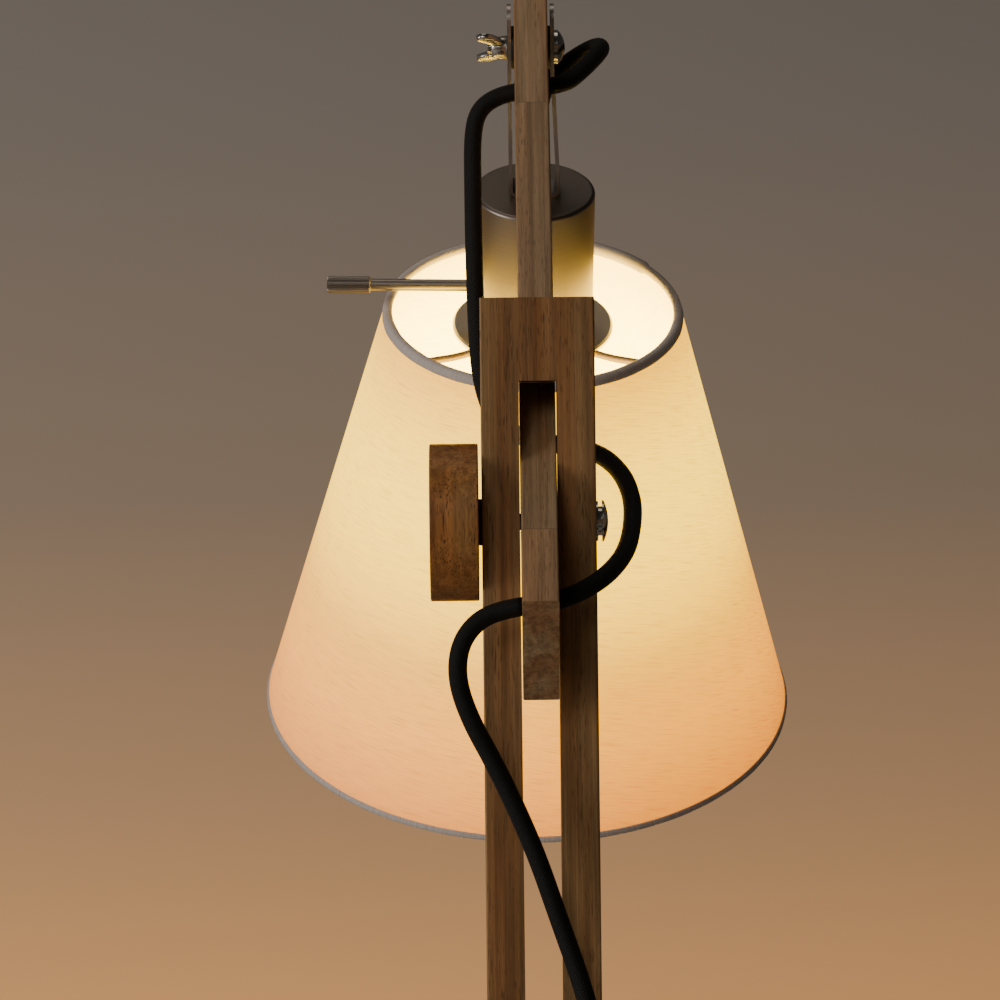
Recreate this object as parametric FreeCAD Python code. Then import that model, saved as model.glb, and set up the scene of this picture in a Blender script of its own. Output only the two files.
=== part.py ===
"""Adjustable arm floor lamp: a twin-upright timber mast on a weighted round base, a timber
arm clamped in the slot between the uprights, and a shaded lamp head hung from a steel
bracket at the arm's upper end, with a braided mains cord.

Millimetres, +Z up.  The origin is the centre of the base's underside, on the floor.
The arm rises towards +Y; +X is to the right of someone standing behind the mast.
"""
import FreeCAD, Part
import math
import os
from FreeCAD import Vector

# ---- Driving dimensions -------------------------------------------------------------

# Fits and clearances
RUNNING_GAP = 0.05        # radial gap of a pin or shaft that turns in its hole
SCREW_GAP = 0.2           # radial gap round a screw or a lead in a plain hole
SLIDE_GAP = 0.5           # gap each side of the arm in the slot
EASED_EDGE = 1.0          # rounding of the long edges of the timber

# Base
BASE_R = 160.0
BASE_T = 30.0
BASE_EDGE_R = 4.0
PLATE_R = 148.0
PLATE_T = 8.0
PLATE_PROUD = 2.0         # how far the steel plate stands below the timber disc
PAD_R = 145.0
PAD_T = 3.0
MORTISE_DEPTH = 15.0

# Mast
STOCK = 18.0              # thickness of each upright, along X
MAST_DEPTH = 38.0         # along Y
SLOT = 18.0               # gap between the uprights, filled by the spacers
MAST_TOP = 1250.0
TOP_SPACER_H = 39.2
FOOT_SPACER_H = 75.0
DOWEL_R = 4.0
DOWEL_BITE = 9.0          # how far a dowel goes into each upright

# Arm
ARM_H = 66.6
ARM_REACH = 343.0         # from the clamp pivot to the head pivot
ARM_TAIL = 84.4           # behind the clamp pivot
ARM_NOSE = 40.0           # past the head pivot
ARM_ANGLE = 45.0          # above the horizontal, at rest
PIVOT_DROP = 105.5        # clamp pivot below the top of the mast
NOSE_CORD_HOLE = 310.0    # from the clamp pivot, towards the head
TAIL_CORD_HOLE = 54.0     # from the clamp pivot, towards the tail

# Clamp at the mast
CLAMP_BOLT_R = 4.0
CLAMP_HEAD_R = 9.8
CLAMP_HEAD_H = 3.0
WASHER_T = 1.0
SPRING_WASHER_T = 1.8
SPRING_WASHER_R = 7.0
KNOB_R = 37.2
KNOB_T = 23.0
KNOB_EDGE_R = 0.7
INSERT_R = 6.5
INSERT_LEN = 16.0
BLACK_WASHER_R = 11.0
BLACK_WASHER_T = 1.5

# Head bracket and its bolt
STRAP_T = 2.0
STRAP_W = 16.0
STRAP_PAST = 24.0         # past the head pivot
STRAP_DROP = 83.6         # from the head pivot to the underside of the bracket
STRAP_BEND_R = 4.0
STRAP_STRAIGHT = 12.0     # below the head pivot, before the legs splay
STRAP_SPLAY = 1.4         # of each leg, at the foot
FOOT_SHIFT = 1.6          # of the foot and the lamp head to the right
FOOT_SKEW = 1.15          # of the bracket's foot, bent a little out of square
HEAD_BOLT_R = 3.0
HEAD_BOLT_HEAD_R = 8.8
HEAD_BOLT_HEAD_H = 4.6
WING_BOSS_R = 6.2
WING_BOSS_H = 8.0
WING_SPAN_R = 16.0
WING_H = 16.0
WING_T = 2.8
WING_ANGLE = -40.0        # of the wings from the bracket's own length

# Lamp head, measured along its own axis down from the head pivot
HEAD_ANGLE = 31.8         # of the head's axis from the vertical, at rest
CUP_R = 31.5
CUP_LEN = 79.4
CUP_WALL = 1.5
CUP_EDGE_R = 2.0
NIPPLE_R = 6.5
NIPPLE_LEN = 24.0
NIPPLE_PROUD = 6.0        # above the bracket, inside the cord grip
NUT_ACROSS_R = 10.0
NUT_T = 4.5
GRIP_R = 8.0
GRIP_LEN = 14.0
DISC_R = 42.2
DISC_T = 1.6
DISC_LIP = 2.6            # depth of the disc's rolled edge
DISC_UPSTAND = 8.0
SWITCH_AT = 140.9
SWITCH_BODY = (24.0, 20.0, 22.0)
SWITCH_SOCKET = 10.0      # how deep the rod goes into the switch
SWITCH_ROD_R = 3.15
SWITCH_ROD_TIP = 108.4
KNURL_R = 4.45
KNURL_LEN = 23.0
LAMPHOLDER_R = 19.5
LAMPHOLDER_LEN = 58.0
LAMPHOLDER_COLLAR_R = 25.0
SOCKET_R = 13.9
SOCKET_DEPTH = 27.0
SLEEVE_WALL = 0.5
RING_NUT_R = 27.0
RING_NUT_T = 8.0
BULB_CAP_R = 12.9
BULB_CAP_LEN = 25.0
BULB_R = 30.0
BULB_NECK_R = 14.0
BULB_LEN = 84.0
BULB_WALL = 1.0

# Shade
SHADE_TOP_AT = 155.4
SHADE_H = 242.6
SHADE_TOP_R = 78.0
SHADE_BOTTOM_R = 141.9
SHADE_WALL = 1.2
RIM_WIRE_R = 1.2
TRIM_W = 3.8
TRIM_T = 0.45
SPOKE_R = 1.9
HUB_R = 26.0
HUB_T = 5.2
SPOKE_INSET = 0.3         # of a spoke above the hub's underside
SPOKE_ELBOW_R = 47.0      # where a spoke turns up to the rim
SPOKE_END_GAP = 0.8       # between a spoke's end and the fabric

# Cord
CORD_R = 4.5
CORD_HOLE_GAP = 1.8       # radial gap of the cord in its holes through the arm
COIL_AT = (0.0, -236.0)
COIL_R = 46.0             # to the middle of the turns
COIL_HALF_W = 9.4
COIL_H = 18.2
TIE_T = 1.0
TIE_W = 12.0
PLUG_W = 35.0
PLUG_H = 14.0
PLUG_LEN = 34.0
RELIEF_LEN = 22.0
PIN_R = 2.0
PIN_LEN = 19.0
PIN_PITCH = 18.6

# Routes of the cord's centreline, chosen by hand.  The head's stretch runs from inside the
# cord grip round to the arm's upper hole, the arm's stretch from there through both holes, and
# the lower stretch from the tail hole down behind the mast to the coil.
HEAD_ROUTE = [
    (1.8, 282.4, 1322.8), (2.2, 273.1, 1337.7), (4.0, 274.0, 1354.0), (6.5, 280.0, 1368.0),
    (15.5, 281.5, 1379.0), (26.0, 277.5, 1386.0), (35.0, 266.5, 1389.5), (37.0, 250.0, 1386.5),
    (31.5, 236.0, 1379.5), (24.0, 226.0, 1372.0), (17.5, 220.0, 1366.55), (8.5, 219.4, 1365.2),
]
ARM_ROUTE = [
    (8.5, 219.4, 1365.2), (-3.5, 218.6, 1363.4), (-18.0, 217.8, 1360.4), (-27.5, 216.0, 1353.0),
    (-30.3, 213.5, 1339.5), (-30.3, 210.0, 1317.0), (-30.2, 204.5, 1285.0), (-29.5, 194.5, 1248.0),
    (-27.6, 179.0, 1214.5), (-20.0, 160.0, 1193.5), (-4.8, 140.0, 1184.5), (13.5, 121.0, 1181.5),
    (29.5, 99.0, 1178.0), (40.5, 75.0, 1168.5), (45.5, 48.0, 1155.5), (44.8, 20.0, 1142.0),
    (41.0, -8.0, 1129.5), (32.0, -31.0, 1119.5), (20.5, -40.5, 1112.3), (10.0, -38.6, 1108.2),
    (1.5, -38.2, 1106.6), (-8.5, -38.2, 1105.1),
]
LOWER_ROUTE = [
    (-8.5, -38.2, 1105.1), (-18.5, -38.2, 1103.6), (-30.0, -40.5, 1098.5), (-38.0, -42.5, 1087.5),
    (-39.5, -43.0, 1071.5), (-33.5, -42.0, 1053.0), (-22.5, -39.5, 1032.5), (-12.5, -37.5, 1011.5),
    (-2.5, -36.5, 987.5), (7.0, -36.0, 959.0), (18.5, -36.5, 926.0), (29.0, -38.5, 882.0),
    (36.5, -43.0, 823.0), (39.0, -49.5, 747.0), (35.5, -57.0, 651.0), (29.0, -66.0, 550.0),
    (25.5, -76.0, 447.0), (27.0, -88.0, 345.0), (32.5, -104.0, 245.0), (39.0, -126.0, 154.0),
    (44.5, -152.0, 82.0), (48.0, -179.0, 34.0), (50.0, -201.0, 10.5), (50.5, -220.0, 5.5),
]
TAIL_ROUTE = [
    (-13.0, -286.4, 13.6), (-27.5, -285.7, 10.6), (-42.5, -282.2, 7.0), (-57.0, -277.9, 7.0),
]
LEAD_R = 1.1

# ---- Places that follow from them ---------------------------------------------------

PLATE_TOP = PAD_T + PLATE_T
BASE_BOTTOM = PAD_T + PLATE_PROUD
BASE_TOP = BASE_BOTTOM + BASE_T
MAST_BOTTOM = BASE_TOP - MORTISE_DEPTH
MAST_HALF_W = SLOT / 2 + STOCK
PIVOT = Vector(0, 0, MAST_TOP - PIVOT_DROP)
ARM_T = SLOT - 2 * SLIDE_GAP
RISE = math.radians(ARM_ANGLE)
HEAD_PIVOT = PIVOT + Vector(0, ARM_REACH * math.cos(RISE), ARM_REACH * math.sin(RISE))
STRAP_INSIDE = ARM_T / 2 + BLACK_WASHER_T
STRAP_OUTSIDE = STRAP_INSIDE + STRAP_T
CUP_BOTTOM = STRAP_DROP + CUP_LEN
LAMPHOLDER_TOP = SWITCH_AT + SWITCH_BODY[2] / 4
HUB_TOP = CUP_BOTTOM + DISC_T
RING_NUT_TOP = HUB_TOP + HUB_T
LAMPHOLDER_END = LAMPHOLDER_TOP + LAMPHOLDER_LEN
SHADE_BOTTOM_AT = SHADE_TOP_AT + SHADE_H
SHADE_SLOPE = (SHADE_BOTTOM_R - SHADE_TOP_R) / SHADE_H
KNOB_FACE = -MAST_HALF_W - BLACK_WASHER_T
CLAMP_HEAD_AT = MAST_HALF_W + WASHER_T + SPRING_WASHER_T
COIL_BOTTOM = TIE_T


# ---- Shared shapes ------------------------------------------------------------------

def box(low, high):
    """A block between two opposite corners."""
    size = [b - a for a, b in zip(low, high)]
    return Part.makeBox(*size, Vector(*low))


def rod_x(radius, x_from, x_to, at=Vector(0, 0, 0)):
    """A cylinder along X, centred on a point's Y and Z."""
    low, high = sorted((x_from, x_to))
    return Part.makeCylinder(radius, high - low, Vector(low, at.y, at.z), Vector(1, 0, 0))


def ring_x(outer, inner, x_from, x_to, at=Vector(0, 0, 0)):
    """A washer on an X axis."""
    return rod_x(outer, x_from, x_to, at).cut(rod_x(inner, x_from, x_to, at))


def drum(radius, top, bottom):
    """A cylinder on the head's own axis, between two distances below the head pivot."""
    return Part.makeCylinder(radius, bottom - top, Vector(0, 0, -bottom))


def tube_drum(outer, inner, top, bottom):
    """A hollow cylinder on the head's own axis."""
    return drum(outer, top, bottom).cut(drum(inner, top, bottom))


def turned(outline):
    """A solid of revolution about Z from (radius, height) corners."""
    corners = [Vector(r, 0, z) for r, z in outline]
    face = Part.Face(Part.makePolygon(corners + [corners[0]]))
    return face.revolve(Vector(0, 0, 0), Vector(0, 0, 1), 360)


def long_edges(shape, direction, keep):
    """The straight edges along a direction whose middle passes the test."""
    found = []
    for edge in shape.Edges:
        if isinstance(edge.Curve, (Part.Line, Part.LineSegment)):
            along = (edge.Vertexes[-1].Point - edge.Vertexes[0].Point).normalize()
            if abs(along.dot(direction)) > 0.999 and keep(edge.CenterOfMass):
                found.append(edge)
    return found


def round_edges(shape, radius):
    """The circular edges of one radius."""
    return [e for e in shape.Edges
            if isinstance(e.Curve, Part.Circle) and abs(e.Curve.Radius - radius) < 1e-6]


def dome(radius, height, rim=0.8):
    """A domed bolt head: flat underneath on the plane Z = 0, with a short straight rim."""
    crown = height - rim
    ball_r = (radius ** 2 + crown ** 2) / (2 * crown)
    half = radius * 0.55
    shoulder = Vector(half, 0, height - ball_r + math.sqrt(ball_r ** 2 - half ** 2))
    foot, top = Vector(0, 0, 0), Vector(0, 0, height)
    edge, lip = Vector(radius, 0, 0), Vector(radius, 0, rim)
    outline = [
        Part.makeLine(foot, edge), Part.makeLine(edge, lip),
        Part.Arc(lip, shoulder, top).toShape(), Part.makeLine(top, foot),
    ]
    return Part.Face(Part.Wire(outline)).revolve(foot, Vector(0, 0, 1), 360)


def facing_x(shape, x, at, sign=1):
    """Turn a shape made along +Z to point along +X or -X, and place it."""
    shape.rotate(Vector(0, 0, 0), Vector(0, 1, 0), 90 * sign)
    shape.translate(Vector(x, at.y, at.z))
    return shape


def on_arm(shape):
    """Place a shape made along +Y from the clamp pivot on the raised arm."""
    shape.rotate(Vector(0, 0, 0), Vector(1, 0, 0), ARM_ANGLE)
    shape.translate(PIVOT)
    return shape


def on_head(shape):
    """Place a shape made about the head pivot, hanging straight down, on the tilted head."""
    shape.rotate(Vector(0, 0, 0), Vector(1, 0, 0), HEAD_ANGLE)
    shape.translate(HEAD_PIVOT)
    return shape


def askew(shape):
    """Turn a shape made on the head's own axis to stand square on the bracket's skewed foot."""
    shape.rotate(Vector(0, 0, -STRAP_DROP), Vector(0, 1, 0), FOOT_SKEW)
    shape.translate(Vector(FOOT_SHIFT, 0, 0))
    return shape


def on_foot(shape):
    """Place a shape made on the head's own axis on the foot of the tilted bracket."""
    return on_head(askew(shape))


def bent_tube(points, tube_r):
    """A round tube along straight runs joined by tangent arcs, each as large as its runs allow.

    Gives the tube, the length of its centreline and the radii of its arcs.
    """
    corners = [Vector(*p) for p in points]
    edges, radii, start = [], [], corners[0]
    for before, corner, after in zip(corners, corners[1:], corners[2:]):
        way_in, way_out = corner - before, after - corner
        set_back = 0.45 * min(way_in.Length, way_out.Length)
        half_turn = way_in.getAngle(way_out) / 2
        radius = set_back / math.tan(half_turn)
        radii.append(radius)
        way_in.normalize()
        way_out.normalize()
        inward = (way_out - way_in).normalize()
        arc_from, arc_to = corner - way_in * set_back, corner + way_out * set_back
        arc_middle = corner + inward * (radius / math.cos(half_turn) - radius)
        edges.append(Part.LineSegment(start, arc_from).toShape())
        edges.append(Part.Arc(arc_from, arc_middle, arc_to).toShape())
        start = arc_to
    edges.append(Part.LineSegment(start, corners[-1]).toShape())
    path = Part.Wire(edges)
    section = Part.Wire(Part.Circle(corners[0], corners[1] - corners[0], tube_r).toShape())
    return path.makePipeShell([section], True, False), path.Length, radii


def cord_tube(name, points):
    """A stretch of the cord, with its length, its volume's share of section times length, and its radii."""
    tube, length, radii = bent_tube(points, CORD_R)
    share = tube.Volume / (math.pi * CORD_R ** 2 * length)
    print(name, round(length, 1), "mm, volume share", round(share, 4), "radii", [round(r) for r in radii])
    return tube


def save(name, shape):
    """Write one node."""
    if not shape.isValid():
        print("not valid:", name)
    shape.exportStep("parts/" + name + ".step")


# ---- Base ---------------------------------------------------------------------------

def mast_screw_places():
    """Where the mast's two screws come up through the base."""
    offset = SLOT / 2 + STOCK / 2
    return [(-offset, 0), (offset, 0)]


def plate_screw_places():
    """Where the steel plate is screwed to the timber disc."""
    radius = PLATE_R * 0.8
    angles = [math.radians(45 + 90 * k) for k in range(4)]
    return [(radius * math.cos(a), radius * math.sin(a)) for a in angles]


MAST_SCREW = {"shank_r": 3.0, "head_r": 6.5, "length": 70.0}
PLATE_SCREW = {"shank_r": 2.0, "head_r": 4.2, "length": 20.0}


def countersunk(x, y, screw):
    """A countersunk screw pointing up, with its head flush with the plate's underside."""
    taper = screw["head_r"] - screw["shank_r"]
    outline = [(0, 0), (screw["head_r"], 0), (screw["shank_r"], taper),
               (screw["shank_r"], screw["length"] - taper), (0, screw["length"])]
    shape = turned(outline)
    shape.translate(Vector(x, y, PAD_T))
    return shape


def countersink(x, y, screw):
    """The hole that the screw goes in, a little larger all round through the plate."""
    gap = SCREW_GAP
    head_r, shank_r = screw["head_r"] + gap, screw["shank_r"] + gap
    taper = head_r - shank_r
    outline = [(0, 0), (head_r, 0), (shank_r, taper), (shank_r, PLATE_T), (0, PLATE_T)]
    shape = turned(outline)
    shape.translate(Vector(x, y, PAD_T))
    return shape


def pilot(x, y, screw):
    """The snug hole that the screw cuts in timber above the plate."""
    length = screw["length"] - PLATE_T
    return Part.makeCylinder(screw["shank_r"], length, Vector(x, y, PLATE_TOP))


def base_pad():
    return Part.makeCylinder(PAD_R, PAD_T)


def base_plate():
    plate = Part.makeCylinder(PLATE_R, PLATE_T, Vector(0, 0, PAD_T))
    for x, y in mast_screw_places():
        plate = plate.cut(countersink(x, y, MAST_SCREW))
    for x, y in plate_screw_places():
        plate = plate.cut(countersink(x, y, PLATE_SCREW))
    return plate


def base_disc():
    disc = Part.makeCylinder(BASE_R, BASE_T, Vector(0, 0, BASE_BOTTOM))
    disc = disc.makeFillet(min(BASE_EDGE_R, BASE_T / 3), round_edges(disc, BASE_R))
    recess = Part.makeCylinder(PLATE_R + SCREW_GAP, PLATE_TOP - BASE_BOTTOM, Vector(0, 0, BASE_BOTTOM))
    disc = disc.cut(recess)
    half_w, half_d = MAST_HALF_W, MAST_DEPTH / 2
    disc = disc.cut(box((-half_w, -half_d, MAST_BOTTOM), (half_w, half_d, BASE_TOP)))
    for x, y in mast_screw_places():
        disc = disc.cut(pilot(x, y, MAST_SCREW))
    for x, y in plate_screw_places():
        disc = disc.cut(pilot(x, y, PLATE_SCREW))
    return disc


def screws(places, screw):
    return Part.makeCompound([countersunk(x, y, screw) for x, y in places])


# ---- Mast ---------------------------------------------------------------------------

def dowel_places():
    """Two cross dowels through each spacer, one above the other, either side of the middle."""
    places = []
    for bottom, height in ((MAST_BOTTOM, FOOT_SPACER_H), (MAST_TOP - TOP_SPACER_H, TOP_SPACER_H)):
        for side, share in ((-1, 0.27), (1, 0.73)):
            places.append(Vector(0, side * MAST_DEPTH / 4, bottom + height * share))
    return places


def dowel(at):
    half = SLOT / 2 + DOWEL_BITE
    return rod_x(DOWEL_R, -half, half, at)


def upright(side):
    """One upright, side -1 on the left and 1 on the right."""
    inner, outer = side * SLOT / 2, side * MAST_HALF_W
    low_x, high_x = sorted((inner, outer))
    half_d = MAST_DEPTH / 2
    post = box((low_x, -half_d, MAST_BOTTOM), (high_x, half_d, MAST_TOP))
    outside = long_edges(post, Vector(0, 0, 1), lambda p: abs(p.x) > MAST_HALF_W - 0.1)
    post = post.makeFillet(EASED_EDGE, outside)
    post = post.cut(rod_x(CLAMP_BOLT_R + RUNNING_GAP, low_x, high_x, PIVOT))
    for at in dowel_places():
        post = post.cut(dowel(at))
    for x, y in mast_screw_places():
        post = post.cut(pilot(x, y, MAST_SCREW))
    return post


def spacer(bottom, height):
    half_w, half_d = SLOT / 2, MAST_DEPTH / 2
    block = box((-half_w, -half_d, bottom), (half_w, half_d, bottom + height))
    for at in dowel_places():
        block = block.cut(dowel(at))
    return block


# ---- Clamp at the mast --------------------------------------------------------------

def clamp_bolt():
    tip = KNOB_FACE - INSERT_LEN + 1.0
    head = facing_x(dome(CLAMP_HEAD_R, CLAMP_HEAD_H), CLAMP_HEAD_AT, PIVOT)
    return head.fuse(rod_x(CLAMP_BOLT_R, tip, CLAMP_HEAD_AT, PIVOT)).removeSplitter()


def clamp_washer():
    return ring_x(CLAMP_HEAD_R - 0.3, CLAMP_BOLT_R + SCREW_GAP, MAST_HALF_W, MAST_HALF_W + WASHER_T, PIVOT)


def clamp_spring_washer():
    """A split ring, cut through once at a slant."""
    start = MAST_HALF_W + WASHER_T
    ring = ring_x(SPRING_WASHER_R, CLAMP_BOLT_R + SCREW_GAP, start, start + SPRING_WASHER_T, PIVOT)
    split = box((start - 1, -0.5, 0), (start + SPRING_WASHER_T + 1, 0.5, SPRING_WASHER_R + 1))
    split.translate(PIVOT)
    return ring.cut(split)


def knob_washer():
    return ring_x(BLACK_WASHER_R, CLAMP_BOLT_R + SCREW_GAP, -MAST_HALF_W, KNOB_FACE, PIVOT)


def clamp_knob():
    knob = rod_x(KNOB_R, KNOB_FACE, KNOB_FACE - KNOB_T, PIVOT)
    knob = knob.makeFillet(KNOB_EDGE_R, round_edges(knob, KNOB_R))
    return knob.cut(rod_x(INSERT_R, KNOB_FACE, KNOB_FACE - INSERT_LEN, PIVOT))


def knob_insert():
    return ring_x(INSERT_R, CLAMP_BOLT_R + RUNNING_GAP, KNOB_FACE, KNOB_FACE - INSERT_LEN, PIVOT)


# ---- Arm ----------------------------------------------------------------------------

def arm():
    half_t, half_h = ARM_T / 2, ARM_H / 2
    bar = box((-half_t, -ARM_TAIL, -half_h), (half_t, ARM_REACH + ARM_NOSE, half_h))
    bar = bar.makeFillet(EASED_EDGE, long_edges(bar, Vector(0, 1, 0), lambda p: True))
    holes = [
        (0, CLAMP_BOLT_R + RUNNING_GAP), (ARM_REACH, HEAD_BOLT_R + RUNNING_GAP),
        (NOSE_CORD_HOLE, CORD_R + CORD_HOLE_GAP), (-TAIL_CORD_HOLE, CORD_R + CORD_HOLE_GAP),
    ]
    for along, radius in holes:
        bar = bar.cut(rod_x(radius, -half_t, half_t, Vector(0, along, 0)))
    return on_arm(bar)


# ---- Head bracket and its bolt ------------------------------------------------------

def strap_block(half_x, foot):
    """A block across the strap's width that widens and leans to a sloping foot."""
    half_w, top = STRAP_W / 2, -STRAP_STRAIGHT
    half_foot = half_x + STRAP_SPLAY
    slope = half_foot * math.tan(math.radians(FOOT_SKEW))
    corners = [Vector(-half_x, -half_w, top), Vector(FOOT_SHIFT - half_foot, -half_w, foot + slope),
               Vector(FOOT_SHIFT + half_foot, -half_w, foot - slope), Vector(half_x, -half_w, top)]
    return Part.Face(Part.makePolygon(corners + [corners[0]])).extrude(Vector(0, STRAP_W, 0))


def bracket():
    """A U of steel strap, its two ends rounded, its bends rounded inside and out."""
    half_w = STRAP_W / 2
    bend = strap_block(STRAP_OUTSIDE, -STRAP_DROP)
    corners = long_edges(bend, Vector(0, 1, 0), lambda p: p.z < -STRAP_DROP / 2)
    bend = bend.makeFillet(STRAP_BEND_R, corners)
    inside = strap_block(STRAP_INSIDE, -STRAP_DROP + STRAP_T / math.cos(math.radians(FOOT_SKEW)))
    corners = long_edges(inside, Vector(0, 1, 0), lambda p: p.z < -STRAP_DROP / 2)
    bend = bend.cut(inside.makeFillet(STRAP_BEND_R - STRAP_T, corners))
    ends = []
    for side in (-1, 1):
        inner, outer = side * STRAP_INSIDE, side * STRAP_OUTSIDE
        low_x, high_x = sorted((inner, outer))
        straight = box((low_x, -half_w, -STRAP_STRAIGHT), (high_x, half_w, STRAP_PAST - half_w))
        tip = rod_x(half_w, low_x, high_x, Vector(0, 0, STRAP_PAST - half_w))
        ends += [straight, tip]
    strap = bend.multiFuse(ends).removeSplitter()
    strap = strap.cut(rod_x(HEAD_BOLT_R + RUNNING_GAP, -STRAP_OUTSIDE, STRAP_OUTSIDE))
    hole = askew(drum(NIPPLE_R + SCREW_GAP, STRAP_DROP - STRAP_T - 1, STRAP_DROP + 1))
    return on_head(strap.cut(hole))


def head_washers():
    """The pair of black friction washers between the arm and the bracket."""
    half = ARM_T / 2
    bore = HEAD_BOLT_R + RUNNING_GAP
    pair = [ring_x(BLACK_WASHER_R, bore, side * half, side * STRAP_INSIDE) for side in (-1, 1)]
    return on_head(Part.makeCompound(pair))


def head_plain_washer():
    end = STRAP_OUTSIDE + WASHER_T
    return on_head(ring_x(HEAD_BOLT_HEAD_R, HEAD_BOLT_R + SCREW_GAP, STRAP_OUTSIDE, end))


def head_bolt():
    head_at = STRAP_OUTSIDE + WASHER_T
    tip = -STRAP_OUTSIDE - WING_BOSS_H - 2.0
    head = facing_x(dome(HEAD_BOLT_HEAD_R, HEAD_BOLT_HEAD_H), head_at, Vector(0, 0, 0))
    return on_head(head.fuse(rod_x(HEAD_BOLT_R, tip, head_at)).removeSplitter())


def wing_nut():
    """A tapered boss with two wings that lean outwards."""
    base, crown_r = WING_BOSS_R, WING_BOSS_R - 1.2
    boss = turned([(0, 0), (base, 0), (crown_r, WING_BOSS_H), (0, WING_BOSS_H)])
    thread = Part.makeCylinder(HEAD_BOLT_R + RUNNING_GAP, WING_BOSS_H)
    wings = []
    for side in (-1, 1):
        root_r, top = HEAD_BOLT_R + 0.6, WING_BOSS_H - 1.0
        outline = [(root_r, 1.0), (base, 1.0), (11.0, 4.0), (WING_SPAN_R, 9.5), (WING_SPAN_R, WING_H - 2.0),
                   (WING_SPAN_R - 3.5, WING_H), (10.0, WING_H - 2.5), (crown_r, top), (root_r, top)]
        corners = [Vector(side * r, -WING_T / 2, z) for r, z in outline]
        face = Part.Face(Part.makePolygon(corners + [corners[0]]))
        wings.append(face.extrude(Vector(0, WING_T, 0)))
    nut = boss.multiFuse(wings).removeSplitter().cut(thread)
    nut.rotate(Vector(0, 0, 0), Vector(0, 0, 1), WING_ANGLE)
    return on_head(facing_x(nut, -STRAP_OUTSIDE, Vector(0, 0, 0), -1))


# ---- Lamp head ----------------------------------------------------------------------

def cord_grip():
    """The black gland that grips the cord above the bracket."""
    seat = STRAP_DROP - STRAP_T
    bore = CORD_R + SCREW_GAP
    outline = [(NIPPLE_R, -seat), (GRIP_R, -seat), (GRIP_R, -seat + GRIP_LEN * 0.6),
               (GRIP_R - 2.0, -seat + GRIP_LEN), (bore, -seat + GRIP_LEN),
               (bore, -seat + NIPPLE_PROUD), (NIPPLE_R, -seat + NIPPLE_PROUD)]
    return on_foot(turned(outline))


def nipple():
    top = STRAP_DROP - STRAP_T - NIPPLE_PROUD
    return on_foot(tube_drum(NIPPLE_R, CORD_R + SCREW_GAP, top, top + NIPPLE_LEN))


def nipple_nut():
    turns = [math.radians(60 * k) for k in range(6)]
    corners = [Vector(NUT_ACROSS_R * math.cos(a), NUT_ACROSS_R * math.sin(a), 0) for a in turns]
    top = STRAP_DROP + CUP_WALL
    nut = Part.Face(Part.makePolygon(corners + [corners[0]])).extrude(Vector(0, 0, -NUT_T))
    nut.translate(Vector(0, 0, -top))
    return on_foot(nut.cut(drum(NIPPLE_R, top, top + NUT_T)))


def cup():
    shell = drum(CUP_R, STRAP_DROP, CUP_BOTTOM)
    crown = [e for e in round_edges(shell, CUP_R) if abs(e.CenterOfMass.z + STRAP_DROP) < 0.1]
    shell = shell.makeFillet(CUP_EDGE_R, crown)
    shell = shell.cut(drum(CUP_R - CUP_WALL, STRAP_DROP + CUP_WALL, CUP_BOTTOM))
    shell = shell.cut(drum(NIPPLE_R + SCREW_GAP, STRAP_DROP, STRAP_DROP + CUP_WALL))
    rod_hole = rod_x(SWITCH_ROD_R + RUNNING_GAP, -CUP_R - 1, 0, Vector(0, 0, -SWITCH_AT))
    return on_foot(shell.cut(rod_hole))


def shade_disc():
    """The disc that closes the cup: a turned-down edge outside and an upstand inside the cup."""
    top = -CUP_BOTTOM
    under = top - DISC_T
    bore = LAMPHOLDER_R + SCREW_GAP
    upstand_r = CUP_R - CUP_WALL - SCREW_GAP
    lip = top - DISC_LIP
    outline = [(bore, top), (upstand_r - 1.5, top), (upstand_r - 1.5, top + DISC_UPSTAND),
               (upstand_r, top + DISC_UPSTAND), (upstand_r, top), (DISC_R - 1.0, top), (DISC_R, top - 1.0),
               (DISC_R, lip), (DISC_R - DISC_T, lip), (DISC_R - DISC_T, under), (bore, under)]
    return on_foot(turned(outline))


def switch_body():
    width, depth, height = SWITCH_BODY
    bottom = -LAMPHOLDER_TOP
    block = box((-width / 2, -depth / 2, bottom), (width / 2, depth / 2, bottom + height))
    socket_at = Vector(0, 0, -SWITCH_AT)
    socket = rod_x(SWITCH_ROD_R + RUNNING_GAP, -width / 2, -width / 2 + SWITCH_SOCKET, socket_at)
    return on_foot(block.cut(socket))


def switch_rod():
    start = -SWITCH_BODY[0] / 2 + SWITCH_SOCKET - 0.5
    at = Vector(0, 0, -SWITCH_AT)
    knurl_from = -SWITCH_ROD_TIP + KNURL_LEN
    rod = rod_x(SWITCH_ROD_R, start, knurl_from, at)
    return on_foot(rod)


def switch_knurl():
    """The ribbed grip at the rod's tip."""
    at = Vector(0, 0, -SWITCH_AT)
    knurl_from = -SWITCH_ROD_TIP + KNURL_LEN
    grip = rod_x(KNURL_R, -SWITCH_ROD_TIP, knurl_from, at)
    return on_foot(grip.makeChamfer(0.6, round_edges(grip, KNURL_R)))


def lead_wires():
    """The two leads from the cord's end, through the nipple, to the switch."""
    top = STRAP_DROP - STRAP_T - NIPPLE_PROUD
    bottom = LAMPHOLDER_TOP - SWITCH_BODY[2]
    leads = [Part.makeCylinder(LEAD_R, bottom - top, Vector(0, y, -bottom)) for y in (-1.6, 1.6)]
    return on_foot(Part.makeCompound(leads))


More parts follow.
